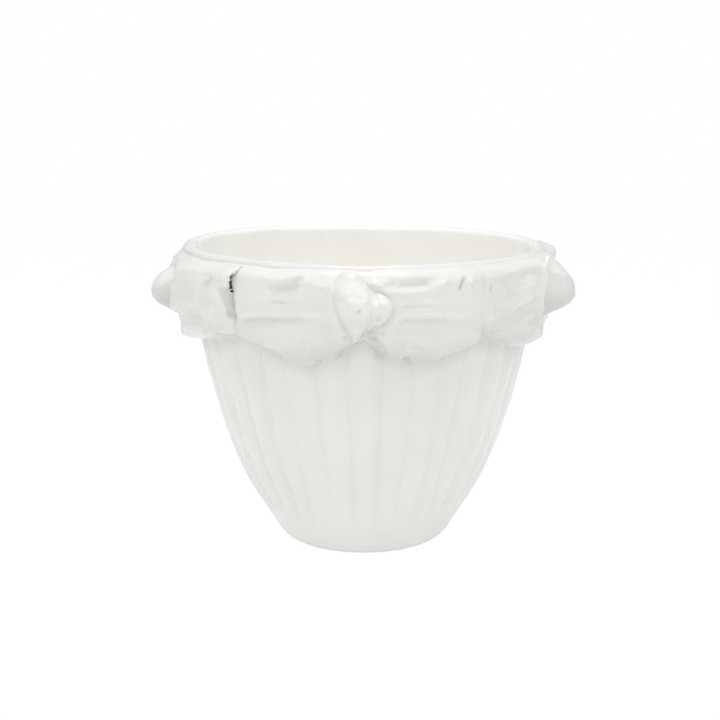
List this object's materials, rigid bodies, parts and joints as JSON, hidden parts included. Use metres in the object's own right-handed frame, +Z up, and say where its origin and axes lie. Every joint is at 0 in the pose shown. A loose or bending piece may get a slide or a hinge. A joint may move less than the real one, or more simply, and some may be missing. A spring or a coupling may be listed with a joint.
{
  "type": "planter pot",
  "caption": "Round reeded planter pot in white glazed earthenware, with knotted swags of draped clay laid round it below the lip.",
  "frame": {"origin": "middle of the flat foot, on the pot's axis", "axes": "+Z up along the pot's axis through its mouth, -Y to the front, where one knot sits, +X to the right of someone facing that knot"},
  "size_m": [0.2615, 0.2658, 0.192],
  "materials": {
    "bowl_glaze": "glossy white glaze over pale earthenware",
    "knot_glaze": "glossy white glaze over pale earthenware",
    "drape_glaze": "glossy white glaze over pale earthenware"
  },
  "bodies": {
    "root": {"pot_body": "bowl_glaze", "knot_1": "knot_glaze", "knot_2": "knot_glaze", "knot_3": "knot_glaze", "knot_4": "knot_glaze", "knot_5": "knot_glaze", "drape_right_1": "drape_glaze", "drape_left_1": "drape_glaze", "drape_right_2": "drape_glaze", "drape_left_2": "drape_glaze", "drape_right_3": "drape_glaze", "drape_left_3": "drape_glaze", "drape_right_4": "drape_glaze", "drape_left_4": "drape_glaze", "drape_right_5": "drape_glaze", "drape_left_5": "drape_glaze"}
  },
  "joints": []
}
